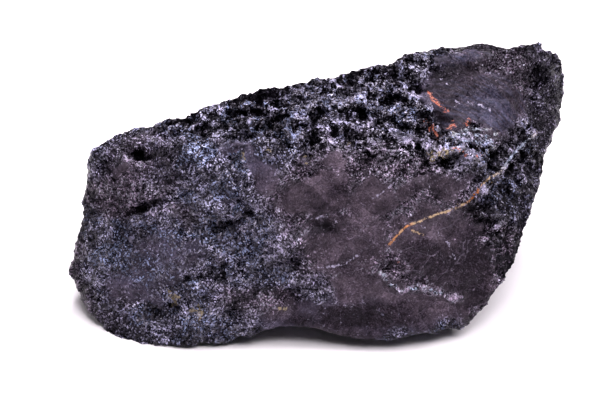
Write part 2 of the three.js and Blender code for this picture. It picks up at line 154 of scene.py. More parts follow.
# Crusts of pale crystal (above 0) and black pockets (below 0), whose black is painted shade: middle,
# radii, turn, strength
SPOTS = [
    ((15.1, 9.8), (2.3, 1.6), -10, -1.3),
    ((12.4, 9.4), (1.4, 1.8), 0, -0.6),
    ((14.8, 4.2), (3.2, 1.0), 6, -0.9),
    ((18.1, 6.3), (0.8, 0.5), 0, -1.4),
    ((12.6, 4.0), (1.1, 0.4), 0, -1.0),
    ((9.1, 11.9), (2.2, 0.8), 10, -0.9),
    ((11.2, 13.7), (1.4, 0.9), -30, -0.9),
    ((11.8, 6.5), (0.7, 0.9), 0, -0.9),
    ((1.8, 10.6), (1.2, 0.8), 0, -0.6),
    ((1.4, 8.3), (0.8, 0.6), 0, -0.9),
    ((5.2, 10.3), (0.8, 0.8), 0, -0.6),
    ((-21.8, 5.2), (1.6, 0.7), -8, -1.2),
    ((-26.0, 3.7), (1.1, 0.7), 0, -1.0),
    ((26.7, 14.8), (1.5, 1.2), 0, -3.0),
    ((-2.1, -6.9), (1.1, 1.3), -35, -0.9),
    ((0.4, -3.0), (1.7, 0.9), -5, -0.7),
    ((-17.8, -13.6), (0.8, 0.8), 0, -0.9),
    ((-10.2, -13.8), (1.1, 0.6), 0, -0.9),
    ((18.5, 7.5), (2.8, 0.9), 5, 0.9),
    ((20.8, 7.2), (1.0, 1.4), 0, 0.8),
    ((2.1, 9.4), (1.3, 0.45), -10, 1.0),
    ((2.8, 11.7), (0.9, 0.9), 0, 0.6),
    ((8.8, 7.5), (0.9, 0.8), 0, 0.7),
    ((-2.8, 7.7), (0.8, 0.6), 0, 1.2),
    ((-11.7, 2.7), (0.7, 0.6), 0, 1.2),
    ((-14.8, 1.0), (1.6, 0.9), 15, 0.6),
    ((-3.8, -8.0), (1.1, 0.4), 10, 1.0),
    ((-5.0, -2.6), (1.3, 0.5), -40, 1.0),
    ((-7.2, -12.4), (0.8, 0.8), 0, 0.8),
    ((-20.8, 6.6), (2.0, 0.6), -5, 1.0),
    # A painted glint, drawn as a small pale crust
    ((-18.3, -9.2), (1.0, 0.4), 5, 1.0),
    ((20.5, -0.5), (3.5, 5.5), -20, -0.4),
    ((-17.0, 6.0), (8.5, 3.0), 8, -0.6),
    ((-9.0, 9.0), (4.5, 2.5), 12, -0.3),
]

# A thin healed crack runs in from the right end: bluish at first, then rusty, then cream
VEIN = [(26.2, 8.1), (25.0, 7.2), (23.5, 5.8), (22.5, 4.6), (21.7, 3.4), (19.9, 2.4), (19.1, 1.4),
        (18.1, 0.2), (17.5, -0.4), (16.3, -1.0), (15.1, -1.4), (13.5, -1.9), (12.1, -2.5),
        (10.4, -3.1), (9.7, -3.7), (8.7, -4.8), (8.2, -5.4)]
VEIN_BRANCH = [(10.9, -3.6), (12.4, -4.2)]

# Iron stains in the upper right, and small cream and brown spots elsewhere
STAINS = [
    [(13.1, 12.9), (13.5, 12.1), (14.3, 11.5), (15.1, 10.7)],
    [(12.7, 9.5), (12.8, 8.8), (13.9, 8.1), (14.1, 7.4)],
    [(15.3, 8.7), (15.8, 8.9), (16.3, 9.1)],
    [(17.6, 9.1), (17.8, 9.6)],
    [(15.9, 6.2), (16.7, 6.0)],
    [(17.2, 5.6), (17.4, 5.5)],
    [(18.7, 5.4), (19.1, 5.2)],
    [(9.3, -7.5), (9.4, -7.5)],
]
CREAM_SPOTS = [
    [(-6.4, 6.2), (-6.0, 5.9)],
    [(-9.2, 5.4), (-9.0, 5.2)],
    [(-1.9, 4.8), (-1.5, 4.6)],
    [(3.2, 6.3), (3.4, 6.6)],
    [(13.0, 5.6), (13.6, 5.4), (15.2, 5.3)],
    [(13.4, 4.9), (14.4, 5.9), (15.3, 6.0)],
    [(-17.9, -11.4), (-17.2, -12.4)],
    [(-14.7, -12.6), (-14.6, -13.9)],
    [(-4.8, -13.1), (-4.2, -13.1)],
    [(16.0, 8.0), (18.0, 7.8), (19.6, 7.5), (21.2, 7.9)],
    [(20.3, 7.6), (20.8, 6.4), (20.0, 5.9)],
    [(16.6, 7.1), (18.2, 7.1)],
    [(15.2, 7.4), (17.4, 8.4), (20.3, 8.5)],
    [(18.8, 6.9), (20.4, 6.9)],
    [(7.2, -8.6), (8.4, -10.1), (9.6, -10.7)],
    [(10.2, -10.6), (12.5, -10.7), (14.8, -11.3)],
    [(-18.2, -11.0), (-17.0, -11.8), (-17.6, -12.6)],
    [(-15.4, -13.3), (-14.2, -13.2), (-14.3, -14.2)],
]

# Where the vein and the stains are rusty: middle, radii, turn, strength
RUST = [
    ((18.5, 0.6), (1.6, 1.4), 40, 1.0),
    ((10.3, -3.1), (1.0, 0.8), 0, 0.8),
    ((8.8, -4.8), (1.6, 1.0), 50, 0.7),
    ((23.5, 5.8), (4.2, 1.8), 43, -1.0),
    ((18.6, 7.3), (4.0, 2.0), 0, -1.0),
    ((11.5, -10.3), (8.0, 4.0), 0, -1.0),
]

# Pale edges where light catches a crack or a row of fibres
EDGES = [
    [(6.0, 0.0), (7.8, 1.2), (9.7, 2.9)],
    [(-6.4, 1.2), (-6.3, -0.6), (-4.2, -1.8), (-3.6, -2.7)],
    [(16.3, 12.0), (16.7, 11.6)],
    [(17.5, 12.0), (18.3, 11.5)],
    [(19.8, 14.1), (20.6, 13.8), (21.2, 13.0)],
    [(14.5, 14.7), (15.3, 13.9)],
    [(20.8, 15.7), (22.3, 14.5)],
    [(19.1, 11.5), (20.8, 10.6)],
    [(18.5, 15.9), (20.5, 15.3)],
    [(25.2, 13.5), (24.6, 11.5)],
    [(-1.1, -2.3), (0.8, -1.9), (2.0, -2.7)],
    [(-1.9, -8.2), (1.7, -8.0), (2.9, -7.7), (4.1, -6.8), (5.1, -6.4)],
    [(12.1, -3.1), (14.0, -3.8), (15.4, -5.2), (16.3, -7.2)],
]

# Narrow seams of bright small crystals that cross the clean breaks
SEAMS = [
    [(7.0, -8.4), (8.2, -9.9), (9.4, -10.6), (11.8, -10.5), (14.7, -10.9), (16.7, -11.6)],
    [(9.2, -1.5), (10.6, -1.9)],
]

# A milky violet film on the clean breaks, with a painted sheen in the scoop and a painted
# highlight on the pale ledge above it: middle, radii, turn, strength. Below 0 it is darker:
# painted shade on the lower right, the bottom and under the ledge, and darker spots in the middle
FILM_SHEEN_AND_SHADE = [
    ((3.2, 5.6), (1.3, 2.4), -25, 1.6),
    ((-4.5, 2.6), (3.0, 1.4), -30, 0.25),
    ((7.5, 1.6), (3.4, 1.8), 25, 0.3),
    ((4.5, -5.0), (3.5, 2.5), 0, 0.2),
    ((13.2, -3.8), (2.4, 1.2), -20, 0.5),
    ((12.6, 0.6), (2.4, 1.4), 0, -1.2),
    ((2.5, 1.2), (2.6, 1.3), 5, -0.8),
    ((-2.6, 0.4), (1.2, 1.8), 30, 0.5),
    ((18.4, -7.4), (3.2, 5.6), -10, -1.7),
    ((13.0, -7.5), (4.4, 3.2), -20, -1.2),
    ((6.0, -14.0), (9.0, 2.2), 0, -1.2),
    ((0.6, -3.2), (2.0, 1.1), -5, -2.0),
    ((20.5, 10.8), (4.6, 2.6), -20, 0.7),
    ((14.6, 14.4), (2.4, 1.6), -20, -0.3),
    ((16.8, 17.3), (3.8, 0.9), 5, 0.9),
    ((18.5, 15.7), (5.5, 0.8), 8, -1.2),
]

# More clean breaks, which only change the finest relief: middle, radii, turn, and how clean
SHALLOW_BREAKS = [
    ((18.6, 12.2), (7.4, 4.3), -18, 0.95),   # the scoop
    ((16.8, 17.3), (3.8, 0.9), 5, 0.8),      # the pale ledge above it
    ((3.0, -6.8), (4.2, 2.0), 20, 0.8),
    ((6.3, -10.6), (5.2, 2.8), -10, 0.95),
    ((0.6, -4.6), (2.6, 2.2), 0, 0.7),
]

# Dull parts round the scoop and at the right end: middle, radii, turn, how dull, and where the
# fading of the edge starts. The scoop's fibres run in arcs round a point below it
DULL_PARTS = [
    ((20.0, 13.5), (7.0, 7.2), 0, 1.0, 0.75),
    ((27.2, 12.0), (3.4, 6.5), 0, 0.65, 0.6),
]
ARC_MIDDLE = (12.0, 0.0)

# The middle and the lower right are violet and the rest is navy: middle, radii, turn
VIOLET_PART = ((8.5, -3.5), (17.0, 11.0), -25)

# The crystalline top lies above a line of points (across, up), and the crystalline right lies
# beyond a line of points (up, across)
TOP_FROM = np.array([(-20.5, 8.4), (-3.6, 6.0), (9.7, 4.2), (19.3, 2.4)])
RIGHT_FROM = np.array([(-9.0, 21.2), (-0.6, 17.1), (2.4, 19.9), (8.1, 26.2)])

CHIP_SIZE, CHIP_HEIGHT, CHIP_MEAN = 9, 1.1, 0.35
LUMP_SIZE, LUMP_HEIGHT = 4.2, 0.3
CRYSTAL_SIZE, CRYSTAL_SLOPE, CRYSTAL_STEP, CRYSTAL_MEAN = 3.6, 0.5, 0.35, -0.7
BLOCK_SKEW = 0.6
SMOOTH_SHARE = 0.25
RIM_CALM, RIM_FROM, RIM_TO = 0.6, 0.86, 0.97
FRONT_FADE = 3

# A line of the relief that sinks deeper than this is a crack, and off the front every line is
# taken to be this much farther away
CRACK_RISE = -0.55
OFF_FRONT = 9

# Fine crystals: size in mm, slope, step and mean height, and how deep the black pockets are
MEDIUM_SIZE, MEDIUM_SLOPE, MEDIUM_STEP, MEDIUM_MEAN = 1.6, 0.42, 0.2, -0.3
FINE_SIZE, FINE_SLOPE, FINE_STEP, FINE_MEAN = 0.8, 0.5, 0.1, -0.18
POCKET_DEPTH = 0.75
UNEVENNESS = 0.045

AIM_BOX = np.array((30.0, 17.5, 12.0))
CORE_SHARE = np.array((0.6, 0.3, 0.0))
CELLS = np.array((220, 130, 56))


def smooth(x, low, high):
    """0 below low, 1 above high, and a soft S-curve between them."""
    t = np.clip((x - low) / (high - low), 0, 1)
    return t * t * (3 - 2 * t)


def chance(cell, seed):
    """A fixed number from 0 to 1 for each whole-numbered cell of space, by mixing the bits of its
    three numbers and the seed."""
    i, j, k = (n.astype(np.int64).astype(np.uint32) for n in cell)
    h = i * np.uint32(73856093) ^ j * np.uint32(19349663)
    h ^= k * np.uint32(83492791) ^ np.uint32(seed * 668265263 & 0xFFFFFFFF)
    h = (h ^ (h >> np.uint32(13))) * np.uint32(1274126177)
    h = (h ^ (h >> np.uint32(16))) * np.uint32(374761393)
    return (h ^ (h >> np.uint32(15))) / 4294967296.0


def swelling(p, size, seed):
    """Soft swellings from -1 to 1: chance at the eight corners of each cell, blended smoothly."""
    low = np.floor(p / size)
    part = p / size - low
    ease = part * part * (3 - 2 * part)
    total = 0
    for corner in range(8):
        step = np.array((corner & 1, (corner >> 1) & 1, corner >> 2))
        weight = np.where(step, ease, 1 - ease).prod(1)
        total = total + weight * chance((low + step).T, seed)
    return 2 * total - 1


def near_seeds(p, size, seed):
    """Each cell of space holds one scattered seed point. Gives, for the 27 cells round each point
    of p, the way from the seed in cells (3 rows) and the cell's numbers."""
    low = np.floor(p.T / size)
    for n in range(27):
        cell = low + np.array((n // 9 - 1, n // 3 % 3 - 1, n % 3 - 1))[:, None]
        seeds = cell + np.array([chance(cell, seed + axis) for axis in range(3)])
        yield p.T / size - seeds, cell


def scallops(p, size, seed):
    """Shallow bowls: the square of the distance to the nearest seed, in cells."""
    lowest = np.full(len(p), np.inf)
    for away, _ in near_seeds(p, size, seed):
        lowest = np.minimum(lowest, (away ** 2).sum(0))
    return lowest


def crystal_blocks(p, size, slope, step, seed):
    """Intergrown crystals: round each seed a skewed block whose flat faces fall away on all sides
    with the slope, from a top that is up to a step higher or lower, and the highest shows."""
    highest = np.full(len(p), -np.inf)
    for away, cell in near_seeds(p, size, seed):
        farthest = 0
        for face in range(3):
            across = away[face].copy()
            for axis in range(3):
                lean = 2 * chance(cell, seed + 4 + 3 * face + axis) - 1
                across += BLOCK_SKEW * lean * away[axis]
            farthest = np.maximum(farthest, np.abs(across))
        top = step * (2 * chance(cell, seed + 3) - 1)
        highest = np.maximum(highest, top - slope * size * farthest)
    return highest


def outline_ring(points, steps=1440):
    """The distance from the middle to a closed outline, in a ring of even angles: the farthest
    place where the ray crosses one of the outline's edges."""
    angle = np.arange(steps)[:, None] / steps * 2 * math.pi
    way = np.cos(angle), np.sin(angle)
    start, end = points, np.roll(points, -1, 0)
    edge = end - start
    turn = way[0] * edge[:, 1] - way[1] * edge[:, 0]
    share = (start[:, 0] * way[1] - start[:, 1] * way[0]) / turn
    out = (start[:, 0] * edge[:, 1] - start[:, 1] * edge[:, 0]) / turn
    return np.where((share >= -1e-9) & (share <= 1 + 1e-9), out, 0).max(1)


JAGGED_RING = outline_ring(OUTLINE)
PLAIN_RING = outline_ring(OUTLINE[::7])


def reach_at(ring, angle):
    """The ring's distance at any angle, blended between its two nearest steps."""
    steps = np.arange(len(ring) + 1) / len(ring)
    return np.interp((angle / (2 * math.pi)) % 1, steps, np.append(ring, ring[0]))


def plane(way, at):
    """A face as its unit way out and its distance from the sketch's origin."""
    out = np.array(way) / np.linalg.norm(way)
    return out, out @ np.array(at)


def to_sketch(v):
    """A way or a place on the table along the sketch's axes."""
    x, y, z = v
    return np.array((x, y * SIN + z * COS, z * SIN - y * COS))


def to_world(p):
    """Sketch points, as rows, in mm on the table."""
    across, up, near = p.T
    return np.stack((across - BOX_MIDDLE[0], up * SIN - near * COS - BOX_MIDDLE[1],
                     up * COS + near * SIN + REST_DROP), 1)


PLANES = [plane((-slope[0], -slope[1], 1), at) for at, slope in FRONT_FACES]
PLANES += [plane(to_sketch(looks), to_sketch((at[0], at[1], at[2] - REST_DROP)))
           for at, looks in BACK_FACES]


def behind_rim(p):
    """How far each point lies behind the rim of the front, along the near axis, and the rim's
    distance from the middle there."""
    angle = np.arctan2(p[:, 1], p[:, 0])
    rim = reach_at(JAGGED_RING, angle) + OUTLINE_GROWTH
    x, y = rim * np.cos(angle), rim * np.sin(angle)
    rim_near = np.min([at[2] + slope[0] * (x - at[0]) + slope[1] * (y - at[1])
                       for at, slope in FRONT_FACES], 0)
    return np.maximum(0, rim_near - p[:, 2]), rim


def outside_skirt(p):
    """How far p lies outside the sides, which run back from the outline and draw in as they go,
    while the jagged outline fades into its plain form."""
    behind, rim = behind_rim(p)
    angle = np.arctan2(p[:, 1], p[:, 0])
    reach = rim + (reach_at(PLAIN_RING, angle) - rim) * smooth(behind, 0, SKIRT_BLEND)
    lean = SKIRT_LEAN + SKIRT_LEAN_CHANGE * np.sin(3 * angle + 1)
    return np.hypot(p[:, 0], p[:, 1]) - reach + lean * behind


def along(aim, share):
    """The place a share of the way from the core to the point that each line is aimed at."""
    return aim * (CORE_SHARE + (1 - CORE_SHARE) * np.reshape(share, (-1, 1)))


def meets(aim, face):
    """Where each line meets a plane, as a share of its length to the box."""
    out, far = face
    start = along(aim, 0)
    closing = (along(aim, 1) - start) @ out
    return np.where(closing > 1e-9, (far - start @ out) / np.maximum(closing, 1e-9), np.inf)


def plain_share(aim, length):
    """The share of each line inside the plain stone: where it first meets a face or the sides
    (found by halving), less a rounding where several are close."""
    inside, outside = np.zeros(len(aim)), np.full(len(aim), 2.5)
    for _ in range(30):
        middle = (inside + outside) / 2
        out = outside_skirt(along(aim, middle)) > 0
        inside, outside = np.where(out, inside, middle), np.where(out, middle, outside)
    ends = np.array([meets(aim, face) * length for face in PLANES] + [inside * length])
    first = ends.min(0)
    crowd = np.exp((first - ends) / RIDGE_ROUNDING).sum(0)
    return (first - RIDGE_ROUNDING * np.log(crowd)) / length


def in_oval(spot, p):
    """Where the points lie in a turned oval: 0 at its middle, 1 on its edge."""
    turn = math.radians(spot[2])
    x, y = p[:, 0] - spot[0][0], p[:, 1] - spot[0][1]
    u = (x * math.cos(turn) + y * math.sin(turn)) / spot[1][0]
    v = (y * math.cos(turn) - x * math.sin(turn)) / spot[1][1]
    return np.hypot(u, v)


def to_line(points, p):
    """The distance across the front from p to a line of points."""
    nearest = np.full(len(p), np.inf)
    for (x0, y0), (x1, y1) in zip(points, points[1:]):
        dx, dy = x1 - x0, y1 - y0
        t = np.clip(((p[:, 0] - x0) * dx + (p[:, 1] - y0) * dy) / (dx * dx + dy * dy), 0, 1)
        nearest = np.minimum(nearest, np.hypot(p[:, 0] - x0 - t * dx, p[:, 1] - y0 - t * dy))
    return nearest


def relief(p):
    """What stands out of the plain stone or is sunk in it: scalloped breaks, lumps and crystal
    blocks all over, calmer by the rim, and the front's own hollows, lines and clean patches.
    Also gives how far each point belongs to the front, and how calm it is."""
    behind, rim = behind_rim(p)
    front = 1 - smooth(behind, 0, FRONT_FADE)
    calm = 1 - RIM_CALM * smooth(np.hypot(p[:, 0], p[:, 1]) / rim, RIM_FROM, RIM_TO)
    height = CHIP_HEIGHT * (scallops(p, CHIP_SIZE, 11) - CHIP_MEAN)
    height += LUMP_HEIGHT * swelling(p, LUMP_SIZE, 21)
    flat = np.zeros(len(p))
    carved = np.zeros(len(p))
    for spot in PATCHES:
        patch = 1 - smooth(in_oval(spot, p), 0.8, 1.15)
        flat = np.maximum(flat, spot[4] * patch)
        carved = np.maximum(carved, spot[3] * patch)
    for spot in HOLLOWS:
        carved -= spot[3] * (1 - smooth(in_oval(spot, p), 0.25, 1.15))
    for points, width, rise in LINES:
        carved += rise * (1 - smooth(to_line(points, p), 0, width * 1.6))
    blocks = crystal_blocks(p, CRYSTAL_SIZE, CRYSTAL_SLOPE, CRYSTAL_STEP, 31)
    height += (blocks - CRYSTAL_MEAN) * (1 + (SMOOTH_SHARE - 1) * flat * front)
    return height * calm + carved * front, front, calm


def box_skin(cells):
    """The grid points on the six sides of a box of cells, each once, and the quads between them,
    facing out."""
    keys, quads = [], []
    for axis in range(3):
        u, v = (axis + 1) % 3, (axis + 2) % 3
        i, j = np.meshgrid(np.arange(cells[u]), np.arange(cells[v]), indexing="ij")
        for side in (0, 1):
            ring = []
            for di, dj in ((0, 0), (1, 0), (1, 1), (0, 1))[::1 if side else -1]:
                cell = np.zeros(i.shape + (3,), int)
                cell[..., axis] = side * cells[axis]
                cell[..., u], cell[..., v] = i + di, j + dj
                ring.append(cell.reshape(-1, 3))
            quads.append(np.stack(ring, 1))
    corners = np.concatenate(quads).reshape(-1, 3)
    points, index = np.unique(corners, axis=0, return_inverse=True)
    return points, index.reshape(-1, 4)


def vertex_normals(p, quads):
    """The summed cross products of the diagonals of each point's quads, made unit length."""
    a, b, c, d = (p[quads[:, n]] for n in range(4))
    face = np.cross(c - a, d - b)
    total = np.zeros_like(p)
    for n in range(4):
        for axis in range(3):
            total[:, axis] += np.bincount(quads[:, n], face[:, axis], len(p))
    return total / np.linalg.norm(total, axis=1)[:, None]


def to_lines(lines, p, front):
    """The distance to the nearest of several lines, and far away off the front."""
    return np.min([to_line(line, p) for line in lines], 0) + OFF_FRONT * (1 - front)


def in_spots(spots, p):
    """The sum of soft oval spots: each one's strength at its middle, and nothing at its edge."""
    return sum(spot[3] * (1 - smooth(in_oval(spot, p), 0.3, 1.15)) for spot in spots)


def stirred(p, large, small, seeds):
    """The points moved by soft swellings, so that what is drawn on them gets ragged edges. Large
    and small are each a reach and a size in mm, and each axis has its own seed."""
    moves = [large[0] * swelling(p, large[1], seed) + small[0] * swelling(p, small[1], seed + 1)
             for seed in seeds]
    return p + np.stack(moves, 1)


def faded_ovals(ovals, p, fade):
    """The strongest of several ovals at each point: each one's strength, which is its fourth
    value, fading to nothing between the two shares of its radius."""
    return np.max([oval[3] * (1 - smooth(in_oval(oval, p), *fade)) for oval in ovals], 0)


cells, quads = box_skin(CELLS)
aim = AIM_BOX * (2 * cells / CELLS - 1)
length = np.linalg.norm(aim * (1 - CORE_SHARE), axis=1)
plain = plain_share(aim, length)
height, front, calm = relief(along(aim, plain))
sketch = along(aim, plain + height / length)
back = 1 - front

# Where the stone split cleanly: the front's breaks with ragged edges, and a few elsewhere.
# Narrow seams of small crystals cross them
ragged = stirred(sketch, (1.3, 3.1), (0.6, 1.2), (151, 153, 155))
deep_breaks = [(middle, radii, turn, share) for middle, radii, turn, rise, share in PATCHES]
clean = faded_ovals(deep_breaks, ragged, (0.7, 1.2))
clean = np.maximum(clean, faded_ovals(SHALLOW_BREAKS, ragged, (0.7, 1.15)))
elsewhere = swelling(ragged, 13, 51) + 0.45 * swelling(ragged, 3.2, 52)
clean = np.maximum(clean * front, smooth(elsewhere, 0.3, 0.5) * back)
seam = 1 - smooth(to_lines(SEAMS, 0.6 * sketch + 0.4 * ragged, front), 0.15, 0.6)
clean *= 1 - seam
rough = 1 - 0.93 * clean

# Wild is where the crystals are coarse, with much black between them: most of all along the top
# and the right, and less by the rim. It is also raised in the cracks, in the black pockets and a
# little on the back, to paint shade there as black
on_top = smooth(sketch[:, 1] - np.interp(sketch[:, 0], *TOP_FROM.T), -1, 1.5) * front
on_right = smooth(sketch[:, 0] - np.interp(sketch[:, 1], *RIGHT_FROM.T), -0.6, 0.8) * front
dull = [part[3] * (1 - smooth(in_oval(part, ragged), part[4], 1.1)) for part in DULL_PARTS]
dull = np.max(dull, 0) * front
by_rim = (1 - calm) / RIM_CALM * front
cracks = [points for points, width, rise in LINES if rise < CRACK_RISE]
cracked = 1 - smooth(to_lines(cracks, 0.2 * sketch + 0.8 * ragged, front), 0, 0.7)
swirl = stirred(sketch, (0.9, 1.9), (0.3, 0.8), (161, 163, 165))
spotted = in_spots(SPOTS, 0.4 * sketch + 0.6 * swirl) * front
wild_and_shaded = np.maximum(on_top, 0.7 * on_right) * (1 - 0.85 * dull)
for share in (0.35 * back, seam, 0.5 * by_rim, 0.45 * cracked, smooth(-spotted, 0.8, 1.6)):
    wild_and_shaded = np.maximum(wild_and_shaded, share)

# Crusts of pale crystal (above 0) and black pockets (below 0) take turns, in swirls 1 to 2 mm
# wide. There are fewer crusts and more pockets in the dull parts, by the rim, on the back and in
# the cracks. The black of the pockets is painted shade
crusts_and_pocket_shade = 0.22 * swelling(swirl, 2.6, 91) + 0.42 * swelling(swirl, 1.2, 92)
crusts_and_pocket_shade += 0.5 * swelling(swirl, 0.6, 93)
crusts_and_pocket_shade += 0.5 * spotted + 0.6 * seam
crusts_and_pocket_shade -= 0.5 * dull + 0.32 * by_rim + 0.4 * back + 0.35 * cracked

# Finer crystals stand out along the surface's own normal, and next to nothing does where the
# stone split cleanly. Last, each point of the skin is moved a little, so that its facets look
# every way
normal = vertex_normals(sketch, quads)
medium = crystal_blocks(sketch, MEDIUM_SIZE, MEDIUM_SLOPE, MEDIUM_STEP, 61) - MEDIUM_MEAN
fine = crystal_blocks(sketch + 9, FINE_SIZE, FINE_SLOPE, FINE_STEP, 81) - FINE_MEAN
pocket = smooth(-crusts_and_pocket_shade, 0.0, 0.5) * (0.4 + 0.6 * wild_and_shaded) * rough
stand = (medium * (0.15 + 0.85 * rough) + fine * rough - POCKET_DEPTH * pocket) * calm
sketch = sketch + normal * stand[:, None]
dice = np.random.default_rng(5)
sketch = sketch + dice.normal(0, UNEVENNESS, sketch.shape) * rough[:, None]
normal = vertex_normals(sketch, quads)

violet = (1 - smooth(in_oval(VIOLET_PART, ragged), 0.75, 1.1)) * front
violet = np.maximum(violet, dull)
violet = np.maximum(violet, smooth(swelling(ragged, 6, 97), -0.1, 0.6) * (1 - 0.7 * on_top))

# The markings of the front are kept as distances in mm, so that their edges can be drawn finer
# than the grid. The bluish spots are narrower than the cream ones
vein = to_lines([VEIN, VEIN_BRANCH], sketch, front)
stain = to_lines(STAINS, sketch, front)
edge = to_lines(EDGES, sketch, front)
rust = in_spots(RUST, sketch)
cream = to_lines(CREAM_SPOTS, sketch, front) + 0.12 * np.clip(-rust, 0, 1)
film_sheen_and_shade = in_spots(FILM_SHEEN_AND_SHADE, sketch) * front
arc = np.hypot(sketch[:, 0] - ARC_MIDDLE[0], sketch[:, 1] - ARC_MIDDLE[1])

world = to_world(sketch)
world[:, 2] = np.maximum(world[:, 2], 0)


def mesh_of(name, points, faces, values, smooth_faces):
    """A mesh object of equal-sided faces from whole arrays in mm, with its point values as
    attributes."""
    mesh = bpy.data.meshes.new(name)
    mesh.vertices.add(len(points))
    mesh.vertices.foreach_set("co", (points * MM).astype(np.float32).ravel())
    mesh.loops.add(faces.size)
    mesh.loops.foreach_set("vertex_index", faces.astype(np.int32).ravel())
    mesh.polygons.add(len(faces))
    mesh.polygons.foreach_set("loop_start", np.arange(0, faces.size, faces.shape[1], dtype=np.int32))
    mesh.update(calc_edges=True)
    mesh.polygons.foreach_set("use_smooth", smooth_faces)
    for key, numbers in values.items():
        layer = mesh.attributes.new(key, "FLOAT", "POINT")
        layer.data.foreach_set("value", numbers.astype(np.float32))
    mesh.validate()
    thing = bpy.data.objects.new(name, mesh)
    bpy.context.collection.objects.link(thing)
    return thing


# What the material reads at each point. Below 0, crust is where the pockets are painted black as
# shade. Only the clean breaks are shaded smooth
values = {"clean": clean, "crust": crusts_and_pocket_shade, "violet": violet, "wild_and_shaded": wild_and_shaded, "vein": vein, "stain": stain,
          "cream": cream, "edge": edge, "rust": rust, "film_sheen_and_shade": film_sheen_and_shade, "dull": dull, "arc": arc}
stone = mesh_of("stone_skin", world, quads, values, clean[quads].mean(1) > 0.5)


def linear(hex_colour):
    """An sRGB hex colour as linear red, green, blue and alpha."""
    values = [int(hex_colour[n:n + 2], 16) / 255 for n in (1, 3, 5)]
    return tuple(v / 12.92 if v <= 0.04045 else ((v + 0.055) / 1.055) ** 2.4 for v in values) + (1,)


def add(tree, kind, inputs=None, **settings):
    """Adds a shader node of a kind to a tree, with its settings and its inputs. An input is a
    value, or another node's socket to link."""
    node = tree.nodes.new("ShaderNode" + kind)
    for name, value in settings.items():
        setattr(node, name, value)
    for name, value in (inputs or {}).items():
        if isinstance(value, bpy.types.NodeSocket):
            tree.links.new(value, node.inputs[name])
        else:
            node.inputs[name].default_value = value
    return node


# Schorl is black, with a glassy shine on its crystal faces. Where it is crystalline each grain
# of 0.2 to 0.8 mm mirrors another part of the room, so it sparkles blue-white on black. Clean
# breaks are dull and violet-grey, like worn slate. The scales below are cells or waves per mm
schorl = bpy.data.materials.new("schorl")
schorl.use_nodes = True
tree = schorl.node_tree
tree.nodes.clear()
place = add(tree, "TexCoord").outputs["Object"]
in_mm = add(tree, "VectorMath", {0: place, "Scale": 1000}, operation="SCALE").outputs[0]
stored = {name: add(tree, "Attribute", attribute_name=name).outputs["Fac"] for name in values}

# The grain runs in sheaves: space is bent a little, and turned differently in each sheaf of
# 2.5 mm, before blades twice as long as they are wide are laid out in it. Grains of 0.2 mm and
# chunks of 0.8 mm lie every way
bend = add(tree, "TexNoise", {"Vector": in_mm, "Scale": 0.35, "Detail": 2})
bend = add(tree, "VectorMath", {0: bend.outputs["Color"], 1: (0.5, 0.5, 0.5)}, operation="SUBTRACT")
bent = add(tree, "VectorMath", {0: bend.outputs[0], 1: (1.0, 1.0, 1.0), 2: in_mm},
           operation="MULTIPLY_ADD").outputs[0]
sheaves = add(tree, "TexVoronoi", {"Vector": bent, "Scale": 0.4})
turn = add(tree, "SeparateColor", {"Color": sheaves.outputs["Color"]})
spin = add(tree, "Math", {0: turn.outputs[0], 1: 6.28}, operation="MULTIPLY")
turned = add(tree, "VectorRotate", {"Vector": bent, "Axis": (0, -COS, SIN), "Angle": spin.outputs[0]},
             rotation_type="AXIS_ANGLE").outputs[0]
drawn = add(tree, "VectorMath", {0: turned, 1: (1, 2, 2)}, operation="MULTIPLY").outputs[0]
blades = add(tree, "TexVoronoi", {"Vector": drawn, "Scale": 2.8})
grains = add(tree, "TexVoronoi", {"Vector": bent, "Scale": 6.0})
chunks = add(tree, "TexVoronoi", {"Vector": bent, "Scale": 1.3})

# The crusts and the clean breaks get ragged edges, from a fine noise with swirls of 0.5 mm
fray = add(tree, "TexNoise", {"Vector": bent, "Scale": 2.0, "Detail": 4, "Roughness": 0.65,
                              "Distortion": 0.8}).outputs["Fac"]
crust_field_and_pocket_shade = add(tree, "Math", {0: fray, 1: 2.4, 2: stored["crust"]}, operation="MULTIPLY_ADD").outputs[0]
frost = add(tree, "MapRange", {"Value": crust_field_and_pocket_shade, "From Min": 1.2, "From Max": 1.7}).outputs[0]
sprinkled = add(tree, "Math", {0: frost, 1: 0.5, 2: 0.12}, operation="MULTIPLY_ADD").outputs[0]
frost = add(tree, "Mix", {0: stored["wild_and_shaded"], 2: sprinkled, 3: frost}).outputs[0]
# Where the crusts are few, the pockets are painted black as shade
painted_pocket_shade = add(tree, "MapRange", {"Value": crust_field_and_pocket_shade, "From Min": 0.75, "From Max": 1.25, "To Min": 1,
                                "To Max": 0}).outputs[0]
painted_pocket_shade = add(tree, "Math", {0: painted_pocket_shade, 1: stored["wild_and_shaded"]}, operation="MULTIPLY").outputs[0]
split = add(tree, "Math", {0: fray, 1: 3.0, 2: stored["clean"]}, operation="MULTIPLY_ADD").outputs[0]
split = add(tree, "MapRange", {"Value": split, "From Min": 1.55, "From Max": 2.3}).outputs[0]

# Each cell's own colour, from 0 to 1 on three axes, leans the surface there
lean = add(tree, "VectorMath", {0: blades.outputs["Color"], 1: grains.outputs["Color"]}, operation="ADD")
lean = add(tree, "VectorMath", {0: lean.outputs[0], 1: chunks.outputs["Color"]}, operation="ADD")
lean = add(tree, "VectorMath", {0: lean.outputs[0], 1: (1.5, 1.5, 1.5)}, operation="SUBTRACT")
steep = add(tree, "MapRange", {"Value": split, "To Min": 1.0, "To Max": 0.25})
lean = add(tree, "VectorMath", {0: lean.outputs[0], "Scale": steep.outputs[0]}, operation="SCALE")
true_way = add(tree, "NewGeometry").outputs["Normal"]
facing = add(tree, "VectorMath", {0: true_way, 1: lean.outputs[0]}, operation="ADD")
facing = add(tree, "VectorMath", {0: facing.outputs[0]}, operation="NORMALIZE").outputs[0]
